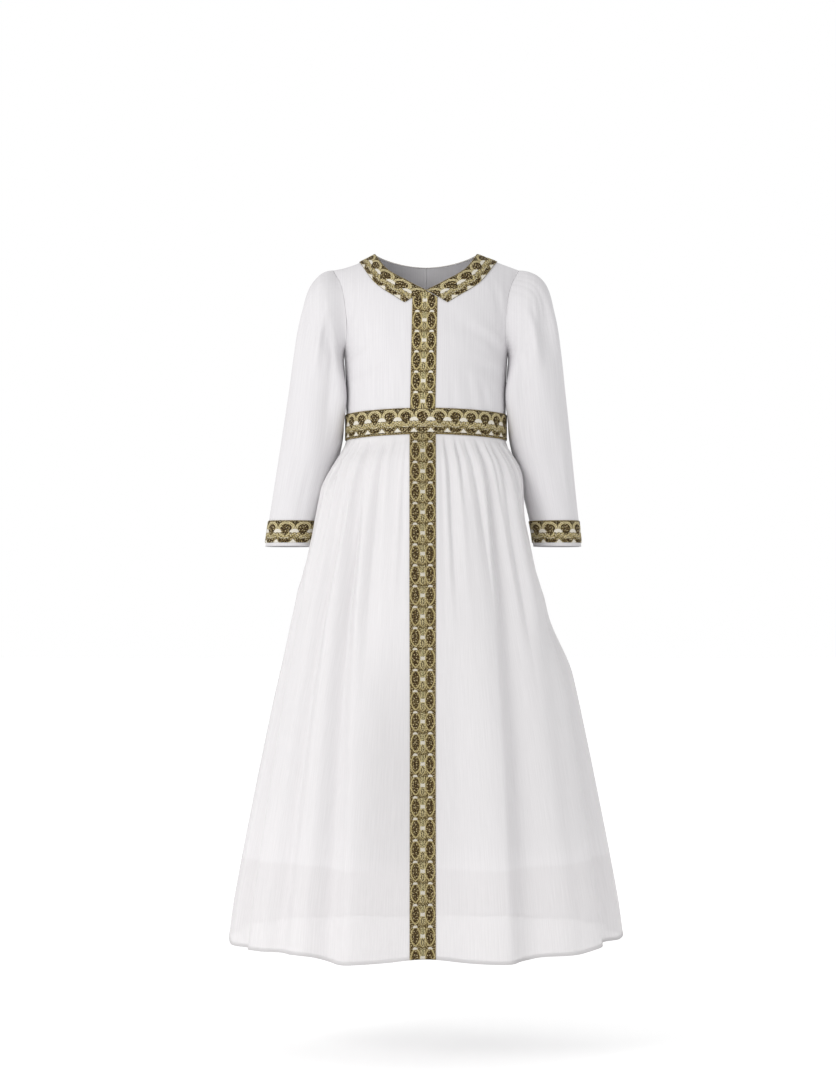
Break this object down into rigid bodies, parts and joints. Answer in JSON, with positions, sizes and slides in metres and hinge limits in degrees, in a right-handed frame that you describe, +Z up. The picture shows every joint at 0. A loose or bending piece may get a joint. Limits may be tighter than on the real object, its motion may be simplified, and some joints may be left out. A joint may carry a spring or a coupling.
{
  "type": "kaftan dress",
  "caption": "Child's long white kaftan dress, worn shape: ribbon collar, centre band, waistband and cuffs, puffed three-quarter sleeves, gathered sheer skirt over a shorter lining.",
  "frame": {"origin": "between the two neck points of the shoulder seams, on the shoulder plane, where the dress hangs on its wearer", "axes": "+Z up, -Y to the front of the dress, +X to the wearer's left"},
  "size_m": [0.5031, 0.365, 0.891],
  "materials": {
    "bodice_cloth": "matt white crinkled crepe",
    "chiffon": "sheer white crinkle chiffon",
    "lining": "smooth white lining",
    "trim": "woven jacquard ribbon in gold, dark brown, olive and cream"
  },
  "bodies": {
    "root": {"bodice_front": "bodice_cloth", "bodice_back_left": "bodice_cloth", "bodice_back_right": "bodice_cloth", "sleeve_left": "bodice_cloth", "sleeve_right": "bodice_cloth", "cuff_trim_left": "trim", "cuff_trim_right": "trim", "collar_left": "trim", "collar_right": "trim", "placket_upper": "trim", "waistband_front": "trim", "waistband_back_left": "trim", "waistband_back_right": "trim", "placket_lower": "trim", "skirt_front": "chiffon", "skirt_back": "chiffon", "lining_front": "lining", "lining_back": "lining"}
  },
  "joints": []
}
